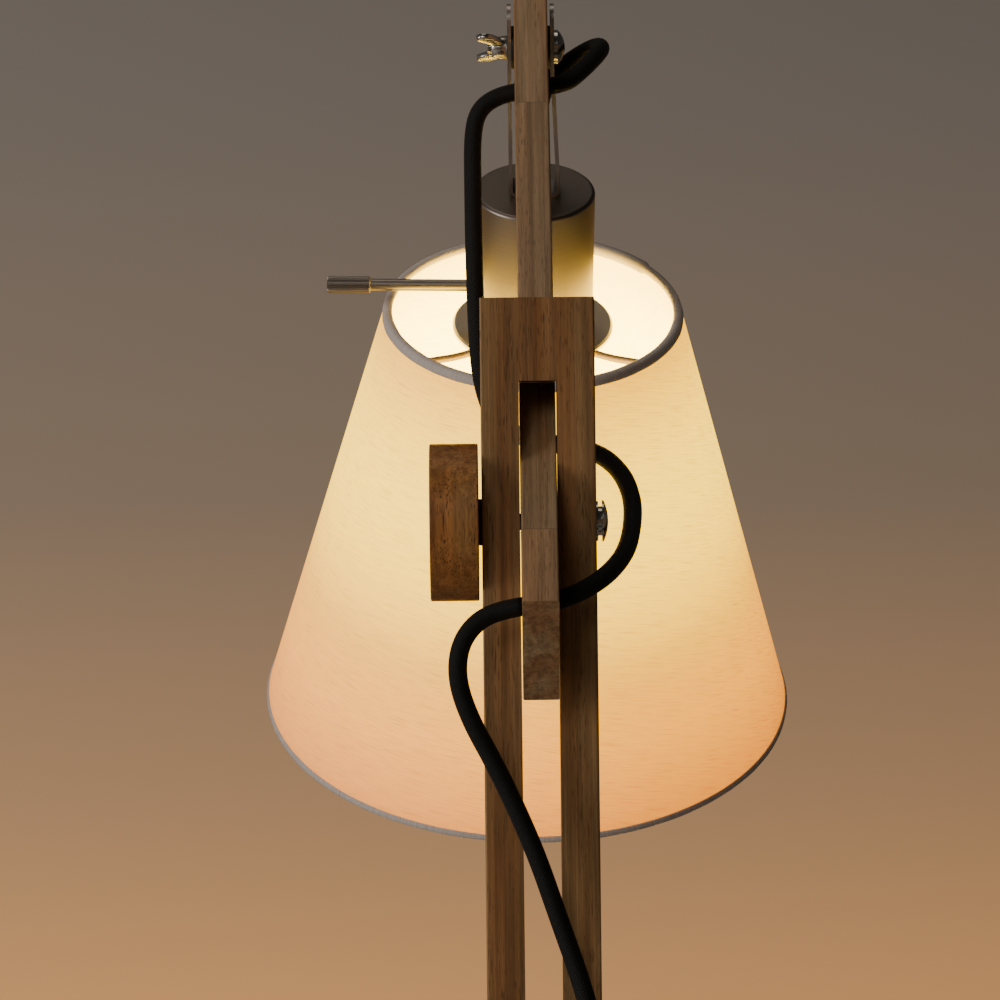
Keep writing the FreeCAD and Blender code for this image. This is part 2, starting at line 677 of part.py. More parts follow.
def lampholder():
    body = drum(LAMPHOLDER_R, LAMPHOLDER_TOP, LAMPHOLDER_END)
    body = body.fuse(drum(LAMPHOLDER_COLLAR_R, CUP_BOTTOM - 5.0, CUP_BOTTOM)).removeSplitter()
    return on_foot(body.cut(drum(SOCKET_R + SLEEVE_WALL, LAMPHOLDER_END - SOCKET_DEPTH, LAMPHOLDER_END)))


def lampholder_sleeve():
    """The thin threaded shell that the bulb screws into."""
    top = LAMPHOLDER_END - SOCKET_DEPTH
    return on_foot(tube_drum(SOCKET_R + SLEEVE_WALL, SOCKET_R, top, LAMPHOLDER_END - 4.0))


def lampholder_contact():
    top = LAMPHOLDER_END - SOCKET_DEPTH
    return on_foot(drum(3.0, top, top + 2.5))


def ring_nut():
    nut = tube_drum(RING_NUT_R, LAMPHOLDER_R, RING_NUT_TOP, RING_NUT_TOP + RING_NUT_T)
    return on_foot(nut)


# ---- Bulb ---------------------------------------------------------------------------

def bulb_cap():
    top = LAMPHOLDER_END - SOCKET_DEPTH + 2.5
    tip = drum(4.5, top, top + 2.0)
    return on_foot(tip.fuse(drum(BULB_CAP_R, top + 2.0, top + BULB_CAP_LEN)).removeSplitter())


def bulb_glass():
    """A thin pear-shaped envelope, closed at the neck."""
    neck = -(LAMPHOLDER_END - SOCKET_DEPTH + 2.5 + BULB_CAP_LEN)
    tip = neck - BULB_LEN
    ball_z = tip + BULB_R

    def envelope(inset):
        radius = BULB_R - inset
        top = Vector(0, 0, neck - inset)
        neck_edge = Vector(BULB_NECK_R - inset, 0, neck - inset)
        waist = Vector(BULB_R * 0.72 - inset, 0, neck - BULB_LEN * 0.34)
        equator = Vector(radius, 0, ball_z)
        low = Vector(radius * math.sqrt(0.5), 0, ball_z - radius * math.sqrt(0.5))
        foot = Vector(0, 0, ball_z - radius)
        outline = Part.Wire([
            Part.makeLine(top, neck_edge), Part.Arc(neck_edge, waist, equator).toShape(),
            Part.Arc(equator, low, foot).toShape(), Part.makeLine(foot, top),
        ])
        return Part.Face(outline).revolve(Vector(0, 0, 0), Vector(0, 0, 1), 360)

    return on_foot(envelope(0).cut(envelope(BULB_WALL)))


# ---- Shade --------------------------------------------------------------------------

def shade_radius(below_top):
    """The shade's outer radius at a distance below its top edge."""
    return SHADE_TOP_R + below_top * SHADE_SLOPE


def cone_shell(below_from, below_to, outside, inside):
    """A thin ring of the shade's cone between two depths, offset outwards and inwards."""
    corners = [(below_from, outside), (below_to, outside), (below_to, inside), (below_from, inside)]
    return turned([(shade_radius(below) + offset, -SHADE_TOP_AT - below) for below, offset in corners])


def shade_fabric():
    return on_foot(cone_shell(0, SHADE_H, 0, -SHADE_WALL))


def rim_wire_centre(below_top):
    lean = math.cos(math.atan(SHADE_SLOPE))
    return shade_radius(below_top) - SHADE_WALL - (RIM_WIRE_R + 0.02) / lean


def rim_wire(below_top):
    at = Vector(0, 0, -SHADE_TOP_AT - below_top)
    return on_foot(Part.makeTorus(rim_wire_centre(below_top), RIM_WIRE_R, at))


def rim_trim(below_from, below_to):
    """A folded tape: one leaf outside the fabric and one inside the rim wire."""
    inner_face = -SHADE_WALL - 2 * RIM_WIRE_R / math.cos(math.atan(SHADE_SLOPE)) - 0.2
    whole = cone_shell(below_from, below_to, TRIM_T, inner_face - TRIM_T)
    if below_from < 0:
        return on_foot(whole.cut(cone_shell(0, below_to, 0, inner_face)))
    return on_foot(whole.cut(cone_shell(below_from, SHADE_H, 0, inner_face)))


def spider():
    """A hub with three spokes that run level past the disc and rise to the shade's top rim."""
    hub = tube_drum(HUB_R, LAMPHOLDER_R + SCREW_GAP, HUB_TOP, HUB_TOP + HUB_T)
    spokes = []
    for angle in (90, 217, 323):
        turn = math.radians(angle)
        away = Vector(math.cos(turn), math.sin(turn), 0)
        level = Vector(0, 0, SPOKE_R + SPOKE_INSET - HUB_TOP - HUB_T)
        inner, elbow = away * (HUB_R - 2.0) + level, away * SPOKE_ELBOW_R + level
        rim_depth = TRIM_W + SPOKE_R
        outer = away * (shade_radius(rim_depth) - SHADE_WALL) + Vector(0, 0, -SHADE_TOP_AT - rim_depth)
        end = elbow + (outer - elbow) * (1 - SPOKE_END_GAP / (outer - elbow).Length)
        spokes.append(bent_tube([inner, elbow, end], SPOKE_R)[0])
    return on_foot(hub.multiFuse(spokes).removeSplitter())


# ---- Coil, tie and plug -------------------------------------------------------------

def at_coil(shape):
    shape.translate(Vector(COIL_AT[0], COIL_AT[1], 0))
    return shape


def coil_ring():
    """The outer shape of the coil's turns, about the frame's own Z."""
    low, high, top = COIL_R - COIL_HALF_W, COIL_R + COIL_HALF_W, COIL_BOTTOM + COIL_H
    return turned([(low, COIL_BOTTOM), (high, COIL_BOTTOM), (high, top), (low, top)])


def cord_coil():
    return at_coil(coil_ring())


def cord_tie():
    """A band round the coil's section, at its left."""
    low, high, top = -COIL_R - COIL_HALF_W, -COIL_R + COIL_HALF_W, COIL_BOTTOM + COIL_H
    half = TIE_W / 2
    outer = box((low - TIE_T, -half, 0), (high + TIE_T, half, top + TIE_T))
    return at_coil(outer.cut(coil_ring()))


def on_plug(shape):
    """Place a shape made along +X from the cord's end on the line of the cord's last run."""
    before, end = TAIL_ROUTE[-2], TAIL_ROUTE[-1]
    heading = math.degrees(math.atan2(end[1] - before[1], end[0] - before[0]))
    shape.rotate(Vector(0, 0, 0), Vector(0, 0, 1), heading)
    shape.translate(Vector(*end))
    return shape


def plug_relief():
    """The tapered sleeve that carries the cord into the plug."""
    cone = Part.makeCone(CORD_R + 0.8, CORD_R + 2.2, RELIEF_LEN, Vector(0, 0, 0), Vector(1, 0, 0))
    return on_plug(cone)


def plug_body():
    half_w, half_h = PLUG_W / 2, PLUG_H / 2
    end = RELIEF_LEN + PLUG_LEN
    corners = [Vector(RELIEF_LEN, -half_w * 0.5, -half_h), Vector(RELIEF_LEN + 12, -half_w, -half_h),
               Vector(end, -half_w, -half_h), Vector(end, half_w, -half_h),
               Vector(RELIEF_LEN + 12, half_w, -half_h), Vector(RELIEF_LEN, half_w * 0.5, -half_h)]
    block = Part.Face(Part.makePolygon(corners + [corners[0]])).extrude(Vector(0, 0, PLUG_H))
    return on_plug(block.makeFillet(2.5, long_edges(block, Vector(0, 0, 1), lambda p: True)))


def plug_pins():
    end = RELIEF_LEN + PLUG_LEN
    pins = [Part.makeCylinder(PIN_R, PIN_LEN, Vector(end, y, 0), Vector(1, 0, 0))
            for y in (-PIN_PITCH / 2, PIN_PITCH / 2)]
    return on_plug(Part.makeCompound(pins))


# ---- Write every node ---------------------------------------------------------------

def main():
    os.makedirs("parts", exist_ok=True)
    save("base_pad", base_pad())
    save("base_plate", base_plate())
    save("base_disc", base_disc())
    save("plate_screws", screws(plate_screw_places(), PLATE_SCREW))
    save("mast_screws", screws(mast_screw_places(), MAST_SCREW))
    save("upright_left", upright(-1))
    save("upright_right", upright(1))
    save("foot_spacer", spacer(MAST_BOTTOM, FOOT_SPACER_H))
    save("top_spacer", spacer(MAST_TOP - TOP_SPACER_H, TOP_SPACER_H))
    save("mast_dowels", Part.makeCompound([dowel(at) for at in dowel_places()]))
    save("clamp_bolt", clamp_bolt())
    save("clamp_washer", clamp_washer())
    save("clamp_spring_washer", clamp_spring_washer())
    save("knob_washer", knob_washer())
    save("clamp_knob", clamp_knob())
    save("knob_insert", knob_insert())
    save("arm", arm())
    save("bracket", bracket())
    save("head_washers", head_washers())
    save("head_plain_washer", head_plain_washer())
    save("head_bolt", head_bolt())
    save("wing_nut", wing_nut())
    save("cord_grip", cord_grip())
    save("nipple", nipple())
    save("nipple_nut", nipple_nut())
    save("cup", cup())
    save("shade_disc", shade_disc())
    save("switch_body", switch_body())
    save("switch_rod", switch_rod())
    save("switch_knurl", switch_knurl())
    save("lead_wires", lead_wires())
    save("lampholder", lampholder())
    save("lampholder_sleeve", lampholder_sleeve())
    save("lampholder_contact", lampholder_contact())
    save("ring_nut", ring_nut())
    save("bulb_cap", bulb_cap())
    save("bulb_glass", bulb_glass())
    save("shade_fabric", shade_fabric())
    save("shade_top_wire", rim_wire(RIM_WIRE_R + 0.4))
    save("shade_bottom_wire", rim_wire(SHADE_H - RIM_WIRE_R - 0.4))
    save("shade_top_trim", rim_trim(-TRIM_T, TRIM_W))
    save("shade_bottom_trim", rim_trim(SHADE_H - TRIM_W + 1.0, SHADE_H + TRIM_T))
    save("spider", spider())
    save("cord_head", cord_tube("cord_head", HEAD_ROUTE))
    save("cord_arm", cord_tube("cord_arm", ARM_ROUTE))
    save("cord_lower", cord_tube("cord_lower", LOWER_ROUTE))
    save("cord_coil", cord_coil())
    save("cord_tail", cord_tube("cord_tail", TAIL_ROUTE))
    save("cord_tie", cord_tie())
    save("plug_relief", plug_relief())
    save("plug_body", plug_body())
    save("plug_pins", plug_pins())


main()
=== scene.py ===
import bmesh
import bpy
import math
from mathutils import Matrix, Vector, noise


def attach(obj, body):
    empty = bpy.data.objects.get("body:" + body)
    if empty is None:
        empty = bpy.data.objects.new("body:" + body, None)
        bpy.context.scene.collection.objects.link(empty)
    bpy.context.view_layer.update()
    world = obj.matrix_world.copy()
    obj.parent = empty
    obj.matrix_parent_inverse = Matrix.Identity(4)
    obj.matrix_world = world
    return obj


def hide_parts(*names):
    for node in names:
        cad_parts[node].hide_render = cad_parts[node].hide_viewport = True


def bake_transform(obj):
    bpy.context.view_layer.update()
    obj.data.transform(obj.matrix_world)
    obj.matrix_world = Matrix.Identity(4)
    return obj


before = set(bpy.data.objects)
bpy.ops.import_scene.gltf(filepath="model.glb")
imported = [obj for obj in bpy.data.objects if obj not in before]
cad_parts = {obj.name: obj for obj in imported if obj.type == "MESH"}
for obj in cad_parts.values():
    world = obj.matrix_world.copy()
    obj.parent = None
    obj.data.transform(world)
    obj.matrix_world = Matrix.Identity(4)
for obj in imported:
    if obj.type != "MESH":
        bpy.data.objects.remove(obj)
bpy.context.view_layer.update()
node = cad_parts


# ---- Camera -----------------------------------------------------------------------
# A long lens looks level at the clamp from behind the mast, very slightly rolled, so that
# the uprights run out of the bottom of the view and the arm's nose out of the top.

CAMERA_AT = (-0.0183, -2.849, 1.1549)
CAMERA_ROLL = 0.0113
LENS = 216.9

camera_data = bpy.data.cameras.new("camera")
camera_data.lens = LENS
camera_data.sensor_width = 36.0
camera = bpy.data.objects.new("camera", camera_data)
camera.location = CAMERA_AT
camera.rotation_euler = (math.radians(90), CAMERA_ROLL, 0)
bpy.context.scene.collection.objects.link(camera)
bpy.context.scene.camera = camera


# ---- Felt pad ---------------------------------------------------------------------
# A thin pad of pressed grey felt, glued under the steel plate so that the lamp slides
# without marking the floor.

def new_material(name):
    """An empty node material, its shader and its object coordinates."""
    made = bpy.data.materials.new(name)
    made.use_nodes = True
    tree = made.node_tree
    shader = tree.nodes["Principled BSDF"]
    coords = tree.nodes.new("ShaderNodeTexCoord")
    return made, tree, shader, coords.outputs["Object"]


def add(tree, kind, inputs=(), out=0, **settings):
    """A shader node with its settings made and its inputs set or linked; gives one output."""
    made = tree.nodes.new("ShaderNode" + kind)
    for key, value in settings.items():
        setattr(made, key, value)
    for socket, value in dict(inputs).items():
        if isinstance(value, bpy.types.NodeSocket):
            tree.links.new(value, made.inputs[socket])
        else:
            made.inputs[socket].default_value = value
    return made.outputs[out]


def ramp(tree, factor, *stops):
    """A colour ramp between grey levels or colours at the given places."""
    made = tree.nodes.new("ShaderNodeValToRGB")
    tree.links.new(factor, made.inputs[0])
    elements = made.color_ramp.elements
    for place, colour in stops[2:]:
        elements.new(place)
    for element, (place, colour) in zip(elements, stops):
        element.position = place
    for element, (place, colour) in zip(elements, stops):
        level = colour if isinstance(colour, tuple) else (colour,) * 3
        element.color = (*level, 1.0)
    return made.outputs[0]


def tinted(tree, colour, over, share, blend="MIX"):
    """One colour mixed over another by a share."""
    mix = tree.nodes.new("ShaderNodeMix")
    mix.data_type = "RGBA"
    mix.blend_type = blend
    for socket, value in ((mix.inputs[0], share), (mix.inputs[6], colour), (mix.inputs[7], over)):
        if isinstance(value, bpy.types.NodeSocket):
            tree.links.new(value, socket)
        else:
            socket.default_value = value if isinstance(value, float) else (*value, 1.0)
    return mix.outputs[2]


def link(tree, shader, **sockets):
    """Link outputs to the shader's sockets, named with underscores for spaces."""
    for key, value in sockets.items():
        tree.links.new(value, shader.inputs[key.replace("_", " ")])


def set_values(shader, **values):
    """Set the shader's own sockets, named with underscores for spaces."""
    for key, value in values.items():
        shader.inputs[key.replace("_", " ")].default_value = value


def bump(tree, height, distance, strength=1.0):
    return add(tree, "Bump", {"Height": height, "Distance": distance, "Strength": strength})


def finish(material, *names):
    """Give CAD nodes their material."""
    for name in names:
        node[name].material_slots[0].material = material


felt, tree, shader, at = new_material("felt")
fibres = add(tree, "TexNoise", {"Vector": at, "Scale": 420.0, "Detail": 4.0, "Roughness": 0.7})
link(tree, shader, Base_Color=ramp(tree, fibres, (0.3, (0.035, 0.034, 0.033)), (0.7, (0.11, 0.105, 0.1))),
     Normal=bump(tree, fibres, 0.0006))
set_values(shader, Roughness=0.95, Sheen_Weight=0.3, Sheen_Roughness=0.5)
finish(felt, "base_pad")


# ---- Ballast plate and its screws ---------------------------------------------------
# A disc of hot-rolled steel that weighs the foot down, let into the timber and held by
# countersunk screws; two longer screws come up through it into the uprights.

plate_steel, tree, shader, at = new_material("rolled_steel")
scale_marks = add(tree, "TexNoise", {"Vector": at, "Scale": 35.0, "Detail": 6.0, "Roughness": 0.65})
mill_scale = ramp(tree, scale_marks, (0.3, (0.06, 0.06, 0.063)), (0.7, (0.15, 0.147, 0.145)))
link(tree, shader, Base_Color=mill_scale, Roughness=ramp(tree, scale_marks, (0.3, 0.38), (0.7, 0.62)),
     Normal=bump(tree, scale_marks, 0.0002))
set_values(shader, Metallic=1.0)
finish(plate_steel, "base_plate")

zinc, tree, shader, at = new_material("zinc_plate")
bloom = add(tree, "TexNoise", {"Vector": at, "Scale": 260.0, "Detail": 4.0, "Roughness": 0.6})
link(tree, shader, Base_Color=ramp(tree, bloom, (0.3, (0.46, 0.45, 0.43)), (0.7, (0.56, 0.55, 0.53))),
     Roughness=ramp(tree, bloom, (0.3, 0.2), (0.7, 0.28)))
set_values(shader, Metallic=1.0)
finish(zinc, "plate_screws", "mast_screws")


# ---- Timber of the foot and the mast ------------------------------------------------
# Rubberwood, planed and oiled: the foot is a turned disc, the mast is two uprights with
# a spacer between them at the foot and the top, glued and pinned with cross dowels.

GLUE_LINE = 0.00028


def rubberwood(name, pale, dark, turn=(0, 0, 0), shift=(0, 0, 0), flecks=0.6, joints=()):
    """Timber with its grain along Z, once the piece's own coordinates are turned.

    Broad bands of colour, fine fibres, and short dark pores that gather in the bands.
    Joints are the heights along the grain where one length is finger-jointed to the next.
    """
    made, tree, shader, at = new_material(name)
    laid = add(tree, "Mapping", {"Vector": at, "Rotation": turn, "Location": shift})
    if joints:
        height = tree.nodes.new("ShaderNodeSeparateXYZ")
        tree.links.new(laid, height.inputs[0])
        along = height.outputs[2]
        steps = [add(tree, "Math", {0: along, 1: joint}, operation="GREATER_THAN") for joint in joints]
        length = steps[0]
        for step in steps[1:]:
            length = add(tree, "Math", {0: length, 1: step}, operation="ADD")
        aside = add(tree, "CombineXYZ", {"X": length, "Y": length})
        laid = add(tree, "VectorMath", {0: laid, 1: aside}, operation="ADD")

    def drawn_out(scale, stretch, detail, rough=0.5, distortion=0.0):
        """Noise stretched along the grain."""
        vector = add(tree, "Mapping", {"Vector": laid, "Scale": (1.0, 1.0, stretch)})
        return add(tree, "TexNoise", {"Vector": vector, "Scale": scale, "Detail": detail,
                                      "Roughness": rough, "Distortion": distortion})

    bands = drawn_out(95.0, 0.045, 3.0, 0.55, 0.35)
    streaks = drawn_out(330.0, 0.02, 2.0)
    fibres = drawn_out(1500.0, 0.02, 1.0)
    pores = drawn_out(1350.0, 0.1, 1.0)
    crowd = drawn_out(160.0, 0.08, 1.0)
    heart = drawn_out(70.0, 0.03, 1.0)
    between = tuple((p + d) / 2 for p, d in zip(pale, dark))
    colour = ramp(tree, bands, (0.36, dark), (0.5, between), (0.64, pale))
    redness = ramp(tree, heart, (0.4, (1.0, 0.84, 0.72)), (0.6, (0.97, 1.0, 1.0)))
    colour = tinted(tree, colour, redness, 0.9, "MULTIPLY")
    colour = tinted(tree, colour, ramp(tree, streaks, (0.35, 0.62), (0.58, 1.05)), 0.85, "MULTIPLY")
    colour = tinted(tree, colour, ramp(tree, fibres, (0.25, 0.74), (0.75, 1.14)), 0.8, "MULTIPLY")
    fleck = add(tree, "Math", {0: ramp(tree, pores, (0.57, 0.0), (0.66, 1.0)),
                               1: ramp(tree, crowd, (0.36, 0.3), (0.6, 1.0))}, operation="MULTIPLY")
    share = add(tree, "Math", {0: fleck, 1: flecks}, operation="MULTIPLY")
    pore_colour = tuple(d * 0.32 for d in dark)
    colour = tinted(tree, colour, pore_colour, share)
    for joint in joints:
        off = add(tree, "Math", {0: along, 1: joint}, operation="SUBTRACT")
        off = add(tree, "Math", {0: off}, operation="ABSOLUTE")
        line = add(tree, "Math", {0: off, 1: GLUE_LINE}, operation="LESS_THAN")
        line = add(tree, "Math", {0: line, 1: 0.4}, operation="MULTIPLY")
        colour = tinted(tree, colour, pore_colour, line)
    relief = add(tree, "Math", {0: fibres, 1: share}, operation="SUBTRACT")
    link(tree, shader, Base_Color=colour, Normal=bump(tree, relief, 0.00012, 0.6),
         Roughness=ramp(tree, streaks, (0.3, 0.56), (0.7, 0.44)))
    set_values(shader, Specular_IOR_Level=0.35)
    return made


WOOD_PALE = (0.44, 0.25, 0.105)
WOOD_DARK = (0.29, 0.142, 0.05)

finish(rubberwood("rubberwood_foot", WOOD_PALE, WOOD_DARK, (0, math.radians(90), 0), (0.31, 0.12, 0.0)),
       "base_disc")
finish(rubberwood("rubberwood_left", WOOD_PALE, WOOD_DARK, shift=(0.037, 0.0, 0.4)), "upright_left")
finish(rubberwood("rubberwood_right", WOOD_PALE, WOOD_DARK, shift=(0.0, 0.21, 1.1)), "upright_right")
finish(rubberwood("rubberwood_spacer", WOOD_PALE, WOOD_DARK, shift=(0.52, 0.07, 0.2), flecks=0.8),
       "top_spacer", "foot_spacer")

beech, tree, shader, at = new_material("dowel_beech")
rays = add(tree, "Mapping", {"Vector": at, "Scale": (0.05, 1.0, 1.0)})
rays = add(tree, "TexNoise", {"Vector": rays, "Scale": 900.0, "Detail": 2.0})
link(tree, shader, Base_Color=ramp(tree, rays, (0.3, (0.4, 0.25, 0.13)), (0.7, (0.55, 0.37, 0.21))),
     Normal=bump(tree, rays, 0.0001))
set_values(shader, Roughness=0.6)
finish(beech, "mast_dowels")


# ---- Clamp bolt, its washers and the turned knob --------------------------------------
# A domed zinc-plated bolt runs through both uprights and the arm; a turned hand knob with
# a brass thread in it screws onto the far end over a black fibre washer.

finish(zinc, "clamp_bolt", "clamp_washer", "clamp_spring_washer")

black_plastic, tree, shader, at = new_material("black_plastic")
skin = add(tree, "TexNoise", {"Vector": at, "Scale": 1400.0, "Detail": 2.0})
link(tree, shader, Base_Color=ramp(tree, skin, (0.3, (0.008, 0.008, 0.009)), (0.7, (0.02, 0.02, 0.021))),
     Roughness=ramp(tree, skin, (0.3, 0.42), (0.7, 0.58)), Normal=bump(tree, skin, 0.00005))
finish(black_plastic, "knob_washer", "head_washers", "cord_grip", "cord_tie", "plug_relief", "plug_body")

knob_wood = rubberwood("rubberwood_knob", (0.5, 0.24, 0.075), (0.35, 0.155, 0.042), shift=(0.11, 0.43, 0.3),
                       flecks=0.95)
finish(knob_wood, "clamp_knob")

brass, tree, shader, at = new_material("brass")
tarnish = add(tree, "TexNoise", {"Vector": at, "Scale": 300.0, "Detail": 4.0})
link(tree, shader, Base_Color=ramp(tree, tarnish, (0.3, (0.5, 0.33, 0.12)), (0.7, (0.72, 0.52, 0.22))),
     Roughness=ramp(tree, tarnish, (0.3, 0.22), (0.7, 0.4)))
set_values(shader, Metallic=1.0)
finish(brass, "knob_insert", "lampholder_sleeve", "lampholder_contact", "plug_pins", "nipple", "nipple_nut")


# ---- Arm ----------------------------------------------------------------------------
# A flat bar of the same timber, finger-jointed from shorter lengths, clamped in the slot
# between the uprights, with a cross hole near each end for the cord.

ARM_ANGLE = math.radians(45)
CLAMP_AT = Vector((0, 0, 1.1445))
ARM_JOINTS = (-0.0378, 0.2624)

clamp_turned = Matrix.Rotation(ARM_ANGLE, 3, "X") @ CLAMP_AT
arm_wood = rubberwood("rubberwood_arm", (0.5, 0.33, 0.18), (0.36, 0.215, 0.11), (ARM_ANGLE, 0, 0),
                      tuple(-clamp_turned), 0.55, ARM_JOINTS)
finish(arm_wood, "arm")


# ---- Head bracket and its bolt --------------------------------------------------------
# A U of brushed steel strap hangs on a bolt through the arm's nose, with black friction
# washers inside it and a plain washer under the bolt's domed head.

HEAD_ANGLE = math.radians(31.8)
HEAD_PIVOT = Vector((0, 0.242538, 1.387038))
STRAP_DROP = 0.0836
FOOT_SKEW = math.radians(1.15)
FOOT_SHIFT = 0.0016
HEAD_HUNG = Matrix.Translation(HEAD_PIVOT) @ Matrix.Rotation(HEAD_ANGLE, 4, "X")
FOOT_TURNED = (Matrix.Translation((FOOT_SHIFT, 0, -STRAP_DROP)) @ Matrix.Rotation(FOOT_SKEW, 4, "Y")
               @ Matrix.Translation((0, 0, STRAP_DROP)))
FOOT_HUNG = HEAD_HUNG @ FOOT_TURNED


def brushed_steel(name, light, dark, strokes, hung=FOOT_HUNG, turned=False):
    """Steel with fine straight brush marks; strokes scales them along the axes that it hangs on.

    Turned steel has its marks in rings round the axis instead.
    """
    made, tree, shader, at = new_material(name)
    back = hung.inverted()
    hung = add(tree, "Mapping", {"Vector": at, "Rotation": tuple(back.to_euler()),
                                 "Location": tuple(back.translation)})
    drawn = add(tree, "Mapping", {"Vector": hung, "Scale": strokes})
    if turned:
        flat = add(tree, "Mapping", {"Vector": hung, "Scale": (1.0, 1.0, 0.0)})
        radius = add(tree, "VectorMath", {0: flat}, "Value", operation="LENGTH")
        drawn = add(tree, "CombineXYZ", {"X": radius})
    fine = add(tree, "TexNoise", {"Vector": drawn, "Scale": 5200.0, "Detail": 1.0, "Roughness": 0.5})
    broad = add(tree, "TexNoise", {"Vector": drawn, "Scale": 900.0, "Detail": 1.0})
    colour = ramp(tree, fine, (0.3, dark), (0.7, light))
    shading = ramp(tree, broad, (0.3, 0.92), (0.7, 1.0))
    link(tree, shader, Base_Color=tinted(tree, colour, shading, 0.5, "MULTIPLY"),
         Roughness=ramp(tree, fine, (0.3, 0.34), (0.7, 0.46)), Normal=bump(tree, fine, 0.000012, 0.4))
    set_values(shader, Metallic=1.0)
    return made


strap_steel = brushed_steel("strap_steel", (0.46, 0.43, 0.4), (0.36, 0.33, 0.31), (1.0, 1.0, 0.001),
                            HEAD_HUNG)
finish(strap_steel, "bracket")
finish(zinc, "head_plain_washer", "head_bolt")


# ---- Wing nut -------------------------------------------------------------------------
# A die-cast wing nut on the bolt's far end: a tapered boss with two rounded ears that
# lean outwards, bright zinc all over.

WING_ANGLE = math.radians(-40)
STRAP_OUTSIDE = 0.0120
BOSS_R = 0.0062
BOSS_H = 0.0080
BORE_R = 0.00305
EAR_OUTLINE = [(0.0036, 0.0012), (0.0062, 0.0012), (0.0105, 0.0035), (0.0148, 0.0075), (0.0160, 0.0105),
               (0.0160, 0.0138), (0.0142, 0.0158), (0.0118, 0.0156), (0.0094, 0.0130), (0.0054, 0.0072),
               (0.0036, 0.0070)]
EAR_T = 0.0030
EAR_ROUND = 0.0009


def mesh_piece(name, bm, smooth=True):
    """A mesh object from a bmesh, its place already in the mesh."""
    mesh = bpy.data.meshes.new(name)
    bm.to_mesh(mesh)
    bm.free()
    for face in mesh.polygons:
        face.use_smooth = smooth
    made = bpy.data.objects.new(name, mesh)
    bpy.context.scene.collection.objects.link(made)
    return made


def rounded(bm, edges, width, segments):
    """Round the given edges over."""
    bmesh.ops.bevel(bm, geom=list(edges), offset=width, affect="EDGES", segments=segments, profile=0.5,
                    material=-1)


def spun(bm, outline, closed=False, steps=64):
    """Turn an outline of (radius, height) points about Z."""
    verts = [bm.verts.new((radius, 0, height)) for radius, height in outline]
    pairs = list(zip(verts, verts[1:]))
    if closed:
        pairs.append((verts[-1], verts[0]))
    edges = [bm.edges.new(pair) for pair in pairs]
    bmesh.ops.spin(bm, geom=verts + edges, cent=(0, 0, 0), axis=(0, 0, 1), angle=2 * math.pi, steps=steps,
                   use_merge=True)
    bmesh.ops.remove_doubles(bm, verts=bm.verts, dist=1e-6)


def wing_nut_casting():
    """A hollow boss with two ears cut from one outline, thickened and rounded."""
    bm = bmesh.new()
    spun(bm, [(BORE_R, 0.0), (BOSS_R - 0.0004, 0.0), (BOSS_R, 0.0005), (BOSS_R - 0.0011, BOSS_H - 0.0006),
              (BOSS_R - 0.0016, BOSS_H), (BORE_R + 0.0005, BOSS_H), (BORE_R, BOSS_H - 0.0005)], True, 48)
    for side in (-1, 1):
        ear = bmesh.new()
        corners = [ear.verts.new((side * r, -EAR_T / 2, z)) for r, z in EAR_OUTLINE]
        face = ear.faces.new(corners)
        pulled = bmesh.ops.extrude_face_region(ear, geom=[face])
        moved = [v for v in pulled["geom"] if isinstance(v, bmesh.types.BMVert)]
        bmesh.ops.translate(ear, vec=(0, EAR_T, 0), verts=moved)
        bmesh.ops.recalc_face_normals(ear, faces=ear.faces)
        rounded(ear, [e for e in ear.edges if e.calc_face_angle(0) > 1.0], EAR_ROUND, 3)
        copied = bpy.data.meshes.new("ear")
        ear.to_mesh(copied)
        ear.free()
        bm.from_mesh(copied)
    bmesh.ops.recalc_face_normals(bm, faces=bm.faces)
    turn = Matrix.Translation((-STRAP_OUTSIDE, 0, 0)) @ Matrix.Rotation(math.radians(-90), 4, "Y")
    turn = HEAD_HUNG @ turn @ Matrix.Rotation(WING_ANGLE, 4, "Z")
    bmesh.ops.transform(bm, matrix=turn, verts=bm.verts)
    return mesh_piece("wing_nut_casting", bm)


casting = wing_nut_casting()
casting.data.materials.append(zinc)
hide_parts("wing_nut")
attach(casting, "wing_nut")


# ---- Cup and disc ---------------------------------------------------------------------
# A spun steel cup, brushed round its side, hides the lampholder; a turned steel disc with
# a rolled edge closes it from below.

CUP_STROKES = (0.001, 0.001, 1.0)
# The cup's steel is painted darker and warmer than the disc's and the strap's: painted shade and warm
# light, not another steel.
cup_steel_painted_shade = brushed_steel("cup_steel_painted_shade", (0.31, 0.27, 0.24), (0.25, 0.215, 0.19), CUP_STROKES)
finish(cup_steel_painted_shade, "cup")
disc_steel = brushed_steel("disc_steel", (0.6, 0.57, 0.53), (0.53, 0.5, 0.46), (1.0, 1.0, 1.0), turned=True)
finish(disc_steel, "shade_disc")


# ---- Switch and its rod -----------------------------------------------------------------
# A rotary switch inside the cup, turned by a slim steel rod that sticks out to the left
# and ends in a knurled grip.

KNURL_TO = -0.1084
KNURL_R = 0.00445
KNURL_ENDS = [(0.78, 0.0), (1.0, 0.0007), (1.0, 0.0223), (0.78, 0.0230)]
GROOVE = 0.93
SWITCH_AT = 0.1409
RIDGES = 30

rod_steel = brushed_steel("rod_steel", (0.38, 0.34, 0.3), (0.29, 0.26, 0.23), (0.002, 1.0, 1.0))
finish(rod_steel, "switch_rod")


